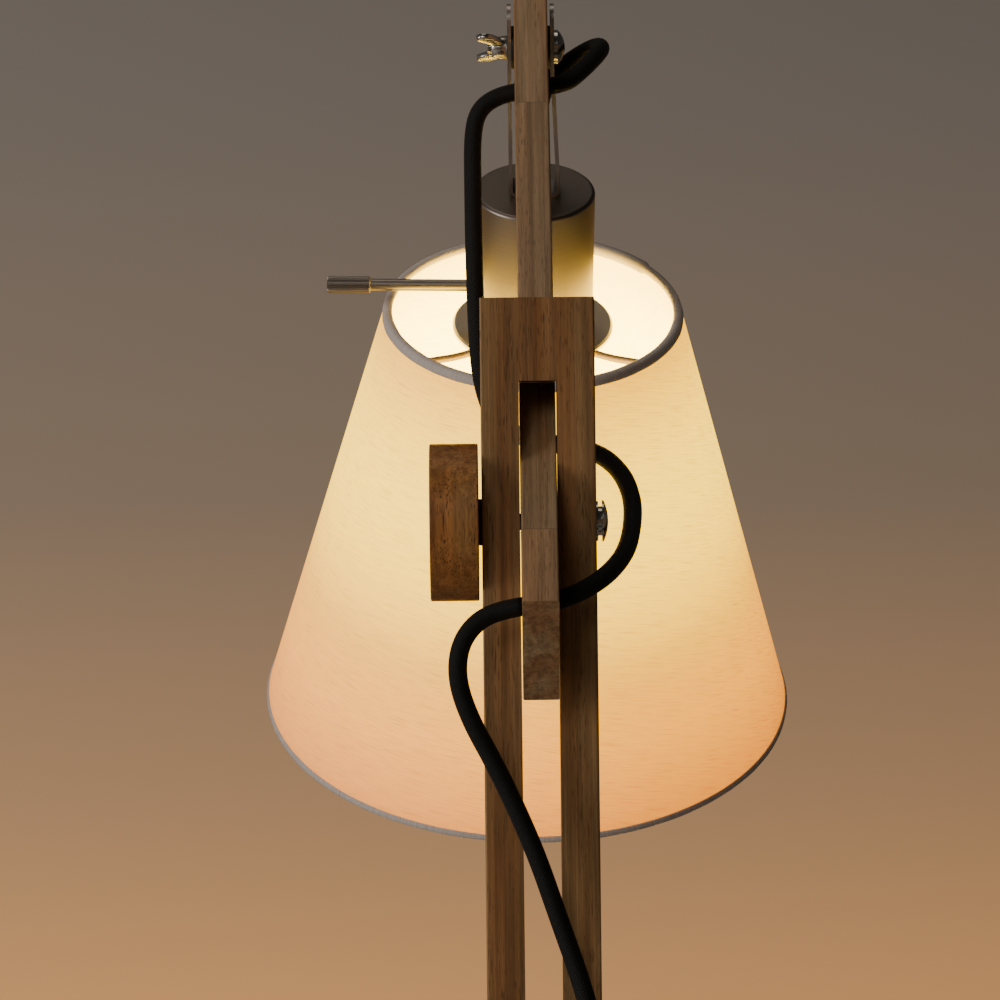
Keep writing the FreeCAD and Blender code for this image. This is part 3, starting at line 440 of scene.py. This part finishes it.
def knurled_grip():
    """A ring with grooves, copied along the rod and bridged, narrower at both ends."""
    bm = bmesh.new()
    ring = bmesh.ops.create_circle(bm, segments=RIDGES * 4, radius=KNURL_R, cap_ends=False)["verts"]
    for k, vert in enumerate(ring):
        if k % 4 in (0, 3):
            vert.co *= GROOVE
    bmesh.ops.rotate(bm, verts=bm.verts, cent=(0, 0, 0), matrix=Matrix.Rotation(math.radians(90), 3, "Y"))
    bmesh.ops.translate(bm, vec=(KNURL_TO, 0, 0), verts=bm.verts)
    loops = []
    for share, depth in KNURL_ENDS:
        copied = bmesh.ops.duplicate(bm, geom=list(ring) + list({e for v in ring for e in v.link_edges}))
        verts = [g for g in copied["geom"] if isinstance(g, bmesh.types.BMVert)]
        bmesh.ops.scale(bm, vec=(1, share, share), verts=verts)
        bmesh.ops.translate(bm, vec=(depth, 0, 0), verts=verts)
        loops.append([g for g in copied["geom"] if isinstance(g, bmesh.types.BMEdge)])
    bmesh.ops.delete(bm, geom=list(ring), context="VERTS")
    for first, second in zip(loops, loops[1:]):
        bmesh.ops.bridge_loops(bm, edges=first + second)
    for end in (loops[0], loops[-1]):
        bmesh.ops.contextual_create(bm, geom=end)
    bmesh.ops.recalc_face_normals(bm, faces=bm.faces)
    bmesh.ops.transform(bm, matrix=FOOT_HUNG @ Matrix.Translation((0, 0, -SWITCH_AT)), verts=bm.verts)
    return mesh_piece("switch_grip", bm, smooth=False)


grip = knurled_grip()
grip.data.materials.append(rod_steel)
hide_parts("switch_knurl")
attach(grip, "switch")

white_plastic, tree, shader, at = new_material("white_plastic")
mould = add(tree, "TexNoise", {"Vector": at, "Scale": 500.0, "Detail": 2.0})
link(tree, shader, Base_Color=ramp(tree, mould, (0.3, (0.66, 0.64, 0.6)), (0.7, (0.76, 0.74, 0.7))),
     Roughness=ramp(tree, mould, (0.3, 0.36), (0.7, 0.5)))
finish(white_plastic, "switch_body", "lampholder", "ring_nut")


# ---- Leads ------------------------------------------------------------------------------
# Two insulated leads run from the cord's end down through the nipple to the switch; their
# skin is brown rubber that stands the lamp's heat.

lead_skin, tree, shader, at = new_material("lead_skin")
blotch = add(tree, "TexNoise", {"Vector": at, "Scale": 240.0, "Detail": 2.0})
link(tree, shader, Base_Color=ramp(tree, blotch, (0.3, (0.22, 0.1, 0.04)), (0.7, (0.34, 0.17, 0.07))))
set_values(shader, Roughness=0.5)
finish(lead_skin, "lead_wires")


# ---- Bulb -------------------------------------------------------------------------------
# A blown bulb of pearl glass, lit, cemented into a rolled and threaded plated cap that
# screws into the lampholder.

BULB_CENTRE = FOOT_HUNG @ Vector((0, 0, -0.2589))

bulb_glass, tree, shader, at = new_material("pearl_glass")
away = add(tree, "VectorMath", {0: at, 1: BULB_CENTRE}, "Value", operation="DISTANCE")
set_values(shader, Base_Color=(0.9, 0.88, 0.84, 1.0), Roughness=0.35, Emission_Strength=6.0)
link(tree, shader, Emission_Color=ramp(tree, away, (0.02, (1.0, 0.86, 0.62)), (0.06, (1.0, 0.62, 0.3))))
finish(bulb_glass, "bulb_glass")
finish(zinc, "bulb_cap")


# ---- Shade ------------------------------------------------------------------------------
# White slub cotton on a clear stiff backing, cut as one ring sector and glued round two
# wire hoops. Its glow is painted: an emission in the cloth stands in for the bulb's light
# shining through it, brightest level with the bulb.

SHADE_TOP = 0.1554
SHADE_H = 0.2426
SHADE_TOP_R = 0.0780
SHADE_BOTTOM_R = 0.1419
SHADE_T = 0.0010
SHADE_EDGE = 0.0002
SEAM_AT = math.radians(53)
SHADE_STEPS = 144
SHADE_ROWS = 26


def shade_r(below):
    """The shade's outside radius at a depth below its top edge."""
    return SHADE_TOP_R + below * (SHADE_BOTTOM_R - SHADE_TOP_R) / SHADE_H


def wrap_uv(mesh, around):
    """A UV map in metres: U round the head's axis at one radius, V down the axis."""
    layer = mesh.uv_layers.new(name="cloth")
    back = FOOT_HUNG.inverted()
    for face in mesh.polygons:
        middle = back @ face.center
        angle = math.atan2(middle.y, middle.x)
        for corner in face.loop_indices:
            point = back @ mesh.vertices[mesh.loops[corner].vertex_index].co
            off = math.atan2(point.y, point.x) - angle
            off = (off + math.pi) % (2 * math.pi) - math.pi
            layer.data[corner].uv = ((angle + off) * around, point.z)


def flat_uv(mesh):
    """A UV map in metres: where each point lay on the flat sector before its ends met at the seam."""
    layer = mesh.uv_layers.new(name="cloth")
    back = FOOT_HUNG.inverted()
    slope = math.atan((SHADE_BOTTOM_R - SHADE_TOP_R) / SHADE_H)
    for face in mesh.polygons:
        middle = back @ face.center
        turn = math.atan2(middle.y, middle.x)
        for corner in face.loop_indices:
            point = back @ mesh.vertices[mesh.loops[corner].vertex_index].co
            off = (math.atan2(point.y, point.x) - turn + math.pi) % (2 * math.pi) - math.pi
            angle = ((turn - SEAM_AT) % (2 * math.pi) - math.pi + off) * math.sin(slope)
            reach = SHADE_TOP_R / math.sin(slope) - (point.z + SHADE_TOP) / math.cos(slope)
            layer.data[corner].uv = (reach * math.sin(angle), -reach * math.cos(angle))


def cotton(name, cloth, hot, cool, glow):
    """Slub cloth on a UV map in metres with a painted glow: an emission standing in for the bulb's light
    through the cloth, hot near the bulb, cool far from it, weaker where threads crowd.
    """
    made, tree, shader, at = new_material(name)
    uv = add(tree, "TexCoord", out="UV")
    weft = add(tree, "Mapping", {"Vector": uv, "Scale": (0.03, 1.0, 1.0)})
    warp = add(tree, "Mapping", {"Vector": uv, "Scale": (1.0, 0.05, 1.0)})
    weft_threads = add(tree, "TexNoise", {"Vector": weft, "Scale": 1500.0, "Detail": 2.0})
    warp_threads = add(tree, "TexNoise", {"Vector": warp, "Scale": 1500.0, "Detail": 2.0})
    slubs = add(tree, "TexNoise", {"Vector": weft, "Scale": 2000.0, "Detail": 1.0})
    slubs = ramp(tree, slubs, (0.56, 0.0), (0.68, 1.0))
    threads = add(tree, "Math", {0: weft_threads, 1: warp_threads}, operation="ADD")
    threads = add(tree, "Math", {0: threads, 1: slubs}, operation="ADD")
    density = add(tree, "Math", {0: threads, 1: 0.5}, operation="MULTIPLY")
    density = ramp(tree, density, (0.3, 1.08), (0.9, 0.74))
    pale = tuple(min(1.0, c * 1.04) for c in cloth)
    worn = tuple(c * 0.9 for c in cloth)
    far = add(tree, "VectorMath", {0: at, 1: BULB_CENTRE}, "Value", operation="DISTANCE")
    between = tuple(0.35 * h + 0.65 * c for h, c in zip(hot, cool))
    colour = ramp(tree, far, (0.10, hot), (0.14, between), (0.205, cool))
    strength = ramp(tree, far, (0.10, 1.0), (0.13, 0.62), (0.16, 0.58), (0.205, 0.38))
    strength = add(tree, "Math", {0: strength, 1: glow}, operation="MULTIPLY")
    strength = add(tree, "Math", {0: strength, 1: density}, operation="MULTIPLY")
    link(tree, shader, Base_Color=ramp(tree, warp_threads, (0.3, worn), (0.7, pale)),
         Emission_Color=colour, Emission_Strength=strength, Normal=bump(tree, threads, 0.00012, 0.7))
    set_values(shader, Roughness=0.85, Sheen_Weight=0.15, Sheen_Roughness=0.5)
    return made


def shade():
    """The cone, spun from one slanting edge, with its faces pointing outwards."""
    bm = bmesh.new()
    ends = (SHADE_EDGE, SHADE_H - SHADE_EDGE)
    top, bottom = [bm.verts.new((shade_r(below), 0, -SHADE_TOP - below)) for below in ends]
    edge = bm.edges.new((top, bottom))
    bmesh.ops.subdivide_edges(bm, edges=[edge], cuts=SHADE_ROWS)
    bmesh.ops.spin(bm, geom=list(bm.verts) + list(bm.edges), cent=(0, 0, 0), axis=(0, 0, 1),
                   angle=2 * math.pi, steps=SHADE_STEPS, use_merge=True)
    bmesh.ops.remove_doubles(bm, verts=bm.verts, dist=1e-6)
    bmesh.ops.recalc_face_normals(bm, faces=bm.faces)
    if sum(face.normal.dot(face.calc_center_median() * Vector((1, 1, 0))) for face in bm.faces) < 0:
        bmesh.ops.reverse_faces(bm, faces=bm.faces)
    bmesh.ops.transform(bm, matrix=FOOT_HUNG, verts=bm.verts)
    made = mesh_piece("shade_cloth", bm)
    flat_uv(made.data)
    return made


# Both faces carry a painted glow; the outside is also painted darker than the inside, though the two are
# one cotton.
cloth = shade()
cloth.data.materials.append(cotton("cotton_outside_painted_glow", (0.43, 0.38, 0.3), (1.0, 0.58, 0.0),
                                   (1.0, 0.28, 0.0), 3.9))
cloth.data.materials.append(cotton("cotton_inside_painted_glow", (0.6, 0.56, 0.5), (1.0, 0.67, 0.08),
                                   (1.0, 0.5, 0.04), 10.0))
wall = cloth.modifiers.new("thickness", "SOLIDIFY")
wall.thickness = SHADE_T
wall.offset = -1.0
wall.material_offset = 1
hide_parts("shade_fabric")
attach(cloth, "head")


# ---- Hoop bindings ------------------------------------------------------------------------
# Each wire hoop and raw edge is bound in a folded bias tape, glued down, with one short
# overlap where the tape's end laps its start.

TOP_BINDING = [(0.0000, 0.0038), (0.0004, 0.0037), (0.0007, 0.0026), (0.0007, 0.0010), (0.0003, -0.0001),
               (-0.0006, -0.0006), (-0.0020, -0.0007), (-0.0033, -0.0003), (-0.0041, 0.0006),
               (-0.0043, 0.0020), (-0.0041, 0.0031), (-0.0032, 0.0037), (-0.0012, 0.0037)]
BOTTOM_BINDING = [(offset, SHADE_H - depth * 0.8) for offset, depth in TOP_BINDING]
LAP_FROM, LAP_TO = math.radians(38), math.radians(68)
LAP_T = 0.0011
HOOP_INSET = 0.0022
PUCKER = 0.00018


def binding(name, section, seed):
    """A folded tape spun round the shade, a little puckered, and thicker where it laps."""
    bm = bmesh.new()
    spun(bm, [(shade_r(depth) + offset, -SHADE_TOP - depth) for offset, depth in section], True, 288)
    middle = sum(depth for offset, depth in section) / len(section)
    core = Vector((shade_r(middle) - HOOP_INSET, 0, -SHADE_TOP - middle))
    for vert in bm.verts:
        angle = math.atan2(vert.co.y, vert.co.x)
        turn = Matrix.Rotation(angle, 3, "Z")
        outward = (vert.co - turn @ core).normalized()
        pucker = noise.noise(Vector((math.cos(angle) * 9, math.sin(angle) * 9, seed + vert.co.z * 90)))
        lift = PUCKER * pucker
        if LAP_FROM < angle < LAP_TO:
            lift += LAP_T
        vert.co += outward * lift
    bmesh.ops.recalc_face_normals(bm, faces=bm.faces)
    bmesh.ops.transform(bm, matrix=FOOT_HUNG, verts=bm.verts)
    made = mesh_piece(name, bm)
    wrap_uv(made.data, 0.11)
    return made


def bias_tape():
    """Plain-woven tape on the bias, so its threads cross at 45 degrees."""
    made, tree, shader, at = new_material("bias_tape")
    uv = add(tree, "TexCoord", out="UV")
    threads = []
    for angle in (45, -45):
        turned = add(tree, "Mapping", {"Vector": uv, "Rotation": (0, 0, math.radians(angle)),
                                       "Scale": (1.0, 0.08, 1.0)})
        threads.append(add(tree, "TexNoise", {"Vector": turned, "Scale": 1400.0, "Detail": 1.0}))
    weave = add(tree, "Math", {0: threads[0], 1: threads[1]}, operation="ADD")
    weave = add(tree, "Math", {0: weave, 1: 0.5}, operation="MULTIPLY")
    link(tree, shader, Base_Color=ramp(tree, weave, (0.35, (0.56, 0.5, 0.46)), (0.65, (0.7, 0.64, 0.6))),
         Normal=bump(tree, weave, 0.0002))
    set_values(shader, Roughness=0.9, Sheen_Weight=0.2, Sheen_Roughness=0.5)
    return made


tape = bias_tape()
for name, section, seed, hidden in (("top_binding", TOP_BINDING, 1.7, "shade_top_trim"),
                                    ("bottom_binding", BOTTOM_BINDING, 6.2, "shade_bottom_trim")):
    bound = binding(name, section, seed)
    bound.data.materials.append(tape)
    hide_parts(hidden)
    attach(bound, "head")


# ---- Spider and hoops -----------------------------------------------------------------------
# Welded steel wire, dull plated: a flat hub ring held under the disc, three spokes
# that rise to the top hoop, and a hoop at each end of the shade. The wire's warm dark
# brown is painted shade for its shaded upper sides, not the plating's own colour.

plated_wire_painted_shade, tree, shader, at = new_material("plated_wire_painted_shade")
grain = add(tree, "TexNoise", {"Vector": at, "Scale": 900.0, "Detail": 2.0})
# Dark warm brown colour: painted shade on the wire.
link(tree, shader, Base_Color=ramp(tree, grain, (0.3, (0.24, 0.17, 0.11)), (0.7, (0.3, 0.22, 0.15))),
     Normal=bump(tree, grain, 0.00005))
set_values(shader, Roughness=0.42, Metallic=0.5)
finish(plated_wire_painted_shade, "spider", "shade_top_wire", "shade_bottom_wire")


# ---- Cord -------------------------------------------------------------------------------------
# One limp mains lead in black braid runs from the lamp head through both cross holes of the
# arm and down behind the mast; its spare length is wound into a tied coil with the plug.

CORD_R = 0.0045
HEAD_ROUTE = [
    (0.0018, 0.2824, 1.3228), (0.0022, 0.2731, 1.3377), (0.0040, 0.2740, 1.3540),
    (0.0065, 0.2800, 1.3680), (0.0155, 0.2815, 1.3790), (0.0260, 0.2775, 1.3860),
    (0.0350, 0.2665, 1.3895), (0.0370, 0.2500, 1.3865), (0.0315, 0.2360, 1.3795),
    (0.0240, 0.2260, 1.3720), (0.0175, 0.2200, 1.36655), (0.0085, 0.2194, 1.3652),
]
ARM_ROUTE = [
    (0.0085, 0.2194, 1.3652), (-0.0035, 0.2186, 1.3634), (-0.0180, 0.2178, 1.3604),
    (-0.0275, 0.2160, 1.3530), (-0.0303, 0.2135, 1.3395), (-0.0303, 0.2100, 1.3170),
    (-0.0302, 0.2045, 1.2850), (-0.0295, 0.1945, 1.2480), (-0.0276, 0.1790, 1.2145),
    (-0.0200, 0.1600, 1.1935), (-0.0048, 0.1400, 1.1845), (0.0135, 0.1210, 1.1815),
    (0.0295, 0.0990, 1.1780), (0.0405, 0.0750, 1.1685), (0.0455, 0.0480, 1.1555),
    (0.0448, 0.0200, 1.1420), (0.0410, -0.0080, 1.1295), (0.0320, -0.0310, 1.1195),
    (0.0205, -0.0405, 1.1123), (0.0100, -0.0386, 1.1082), (0.0015, -0.0382, 1.1066),
    (-0.0085, -0.0382, 1.1051),
]
LOWER_ROUTE = [
    (-0.0085, -0.0382, 1.1051), (-0.0185, -0.0382, 1.1036), (-0.0300, -0.0405, 1.0985),
    (-0.0380, -0.0425, 1.0875), (-0.0395, -0.0430, 1.0715), (-0.0335, -0.0420, 1.0530),
    (-0.0225, -0.0395, 1.0325), (-0.0125, -0.0375, 1.0115), (-0.0025, -0.0365, 0.9875),
    (0.0070, -0.0360, 0.9590), (0.0185, -0.0365, 0.9260), (0.0290, -0.0385, 0.8820),
    (0.0365, -0.0430, 0.8230), (0.0390, -0.0495, 0.7470), (0.0355, -0.0570, 0.6510),
    (0.0290, -0.0660, 0.5500), (0.0255, -0.0760, 0.4470), (0.0270, -0.0880, 0.3450),
    (0.0325, -0.1040, 0.2450), (0.0390, -0.1260, 0.1540), (0.0445, -0.1520, 0.0820),
    (0.0480, -0.1790, 0.0340), (0.0500, -0.2010, 0.0105), (0.0505, -0.2200, 0.0055),
]
TAIL_ROUTE = [(-0.0130, -0.2864, 0.0136), (-0.0275, -0.2857, 0.0106), (-0.0425, -0.2822, 0.0070),
              (-0.0570, -0.2779, 0.0070)]
COIL_AT = (0.0, -0.236)
COIL_TURNS = [(0, 0.0505, 0.0055), (300, 0.0505, 0.0055), (345, 0.0415, 0.0055), (660, 0.0415, 0.0055),
              (705, 0.0415, 0.0145), (1020, 0.0415, 0.0145), (1065, 0.0505, 0.0145), (1170, 0.0505, 0.0145)]
COIL_STEP = 22.5
BRAID_LAY = 0.0130
YARNS = 12


def coil_route():
    """The coil's turns, clockwise from above: out, in, up and out again."""
    route = []
    for (a0, r0, z0), (a1, r1, z1) in zip(COIL_TURNS, COIL_TURNS[1:]):
        steps = max(1, round((a1 - a0) / COIL_STEP))
        for k in range(steps):
            share = k / steps
            angle = -math.radians(a0 + (a1 - a0) * share)
            radius, height = r0 + (r1 - r0) * share, z0 + (z1 - z0) * share
            across, along = radius * math.cos(angle), radius * math.sin(angle)
            route.append((COIL_AT[0] + across, COIL_AT[1] + along, height))
    return route


def braided_cord(name, route):
    """A round tube along the smooth line that the route's points steer, with that line's points."""
    line = bpy.data.curves.new(name + "_line", "CURVE")
    line.dimensions = "3D"
    spline = line.splines.new("NURBS")
    spline.points.add(len(route) - 1)
    for point, place in zip(spline.points, route):
        point.co = (*place, 1.0)
    spline.order_u = 3
    spline.use_endpoint_u = True
    spline.resolution_u = 6
    guide = bpy.data.objects.new(name + "_line", line)
    bpy.context.scene.collection.objects.link(guide)
    middle = bpy.data.meshes.new_from_object(guide)
    path = [vert.co.copy() for vert in middle.vertices]
    line.bevel_depth = CORD_R
    line.bevel_resolution = 6
    line.use_fill_caps = True
    bm = bmesh.new()
    bm.from_mesh(bpy.data.meshes.new_from_object(guide))
    bmesh.ops.remove_doubles(bm, verts=bm.verts, dist=1e-6)
    bpy.data.objects.remove(guide)
    made = mesh_piece(name, bm)
    length = sum((b - a).length for a, b in zip(path, path[1:]))
    return made, path, length


def cord_braid(name, length):
    """A tubular braid of fine yarns that cross at a steep angle, on the tube's own UV map; its colour is
    painted lighter on the yarns' crowns as painted sheen and darker between them as painted shade.
    """
    made, tree, shader, at = new_material(name)
    uv = add(tree, "TexCoord", out="UV")
    turns = round(length / BRAID_LAY)
    cycle = 2 * math.pi * YARNS
    waves = []
    for hand in (-1, 1):
        split = tree.nodes.new("ShaderNodeSeparateXYZ")
        tree.links.new(uv, split.inputs[0])
        along = add(tree, "Math", {0: split.outputs[0], 1: cycle * turns}, operation="MULTIPLY")
        around = add(tree, "Math", {0: split.outputs[1], 1: cycle * hand}, operation="MULTIPLY")
        both = add(tree, "Math", {0: along, 1: around}, operation="ADD")
        waves.append(add(tree, "Math", {0: both}, operation="SINE"))
    plait = add(tree, "Math", {0: waves[0], 1: waves[1]}, operation="MULTIPLY")
    yarns = add(tree, "Math", {0: waves[0], 1: waves[1]}, operation="MAXIMUM")
    relief = add(tree, "Math", {0: plait, 1: yarns}, operation="ADD")
    sheen = add(tree, "MapRange", {0: relief, 1: -1.0, 2: 2.0})
    fuzz = add(tree, "TexNoise", {"Vector": at, "Scale": 900.0, "Detail": 2.0})
    # Painted sheen on the yarns' crowns and painted shade in the grooves between them.
    colour = ramp(tree, sheen, (0.2, (0.002, 0.002, 0.002)), (0.8, (0.012, 0.011, 0.0105)))
    colour = tinted(tree, colour, ramp(tree, fuzz, (0.3, 0.6), (0.7, 1.0)), 1.0, "MULTIPLY")
    link(tree, shader, Base_Color=colour,
         Roughness=ramp(tree, sheen, (0.2, 0.7), (0.8, 0.45)), Normal=bump(tree, relief, 0.00018, 0.8))
    set_values(shader, Sheen_Weight=0.04, Sheen_Roughness=0.4, Specular_IOR_Level=0.3)
    return made


head_cord, head_path, head_length = braided_cord("cord_at_head", HEAD_ROUTE)
arm_cord, arm_path, arm_length = braided_cord("cord_along_arm", ARM_ROUTE)
lower_cord, lower_path, lower_length = braided_cord("cord_to_plug", LOWER_ROUTE + coil_route() + TAIL_ROUTE)
for piece, length in ((head_cord, head_length), (arm_cord, arm_length), (lower_cord, lower_length)):
    piece.data.materials.append(cord_braid(piece.name + "_braid", length))
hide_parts("cord_head")
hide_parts("cord_arm")
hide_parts("cord_lower", "cord_coil", "cord_tail")
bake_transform(head_cord)
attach(arm_cord, "arm")
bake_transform(lower_cord)


# ---- Floor and light ----------------------------------------------------------------------------
# A plain pale floor under a sky that is warm at the horizon, with a large soft light from
# the left, a weaker one from above and behind the camera and a faint one from overhead.

FLOOR_R = 10.8
LIGHTS_AIM = (0, 0.1, 1.2)

floor_bm = bmesh.new()
bmesh.ops.create_circle(floor_bm, cap_ends=True, segments=128, radius=FLOOR_R)
floor = mesh_piece("floor", floor_bm, smooth=False)
floor_paint, tree, shader, at = new_material("floor_paint")
clouds = add(tree, "TexNoise", {"Vector": at, "Scale": 3.0, "Detail": 4.0})
link(tree, shader, Base_Color=ramp(tree, clouds, (0.3, (0.6, 0.565, 0.52)), (0.7, (0.63, 0.595, 0.55))))
set_values(shader, Roughness=0.7)
floor.data.materials.append(floor_paint)

sky = bpy.data.worlds.new("sky")
sky.use_nodes = True
tree = sky.node_tree
way = tree.nodes.new("ShaderNodeTexCoord").outputs["Generated"]
split = tree.nodes.new("ShaderNodeSeparateXYZ")
tree.links.new(way, split.inputs[0])
height = add(tree, "MapRange", {0: split.outputs[2], 1: -0.1, 2: 0.9})
sky_colour = ramp(tree, height, (0.0, (0.86, 0.4, 0.135)), (0.05, (0.46, 0.26, 0.13)),
                  (0.10, (0.245, 0.175, 0.12)), (0.17, (0.17, 0.142, 0.118)),
                  (0.3, (0.1, 0.09, 0.08)), (1.0, (0.05, 0.048, 0.045)))
beyond = add(tree, "MapRange", {0: split.outputs[1], 1: -0.6, 2: 0.7, 3: 0.45, 4: 1.0})
leftward = add(tree, "MapRange", {0: split.outputs[0], 1: -0.5, 2: 0.5, 3: 1.3, 4: 0.4})
tree.links.new(sky_colour, tree.nodes["Background"].inputs[0])
brightness = add(tree, "Math", {0: beyond, 1: leftward}, operation="MULTIPLY")
tree.links.new(brightness, tree.nodes["Background"].inputs[1])
bpy.context.scene.world = sky


def softbox(name, place, size, watts, colour):
    """A round area light aimed at the lamp's clamp."""
    data = bpy.data.lights.new(name, "AREA")
    data.shape = "DISK"
    data.size = size
    data.energy = watts
    data.color = colour
    made = bpy.data.objects.new(name, data)
    made.location = place
    made.rotation_euler = (Vector(LIGHTS_AIM) - Vector(place)).to_track_quat("-Z", "Y").to_euler()
    bpy.context.scene.collection.objects.link(made)


softbox("window_light", (-3.0, -1.3, 1.6), 1.8, 42.0, (1.0, 0.96, 0.92))
softbox("room_light", (-1.0, -2.6, 2.5), 1.4, 14.0, (1.0, 0.93, 0.85))
softbox("ceiling_light", (-0.2, 0.3, 3.6), 1.1, 4.5, (1.0, 0.88, 0.74))
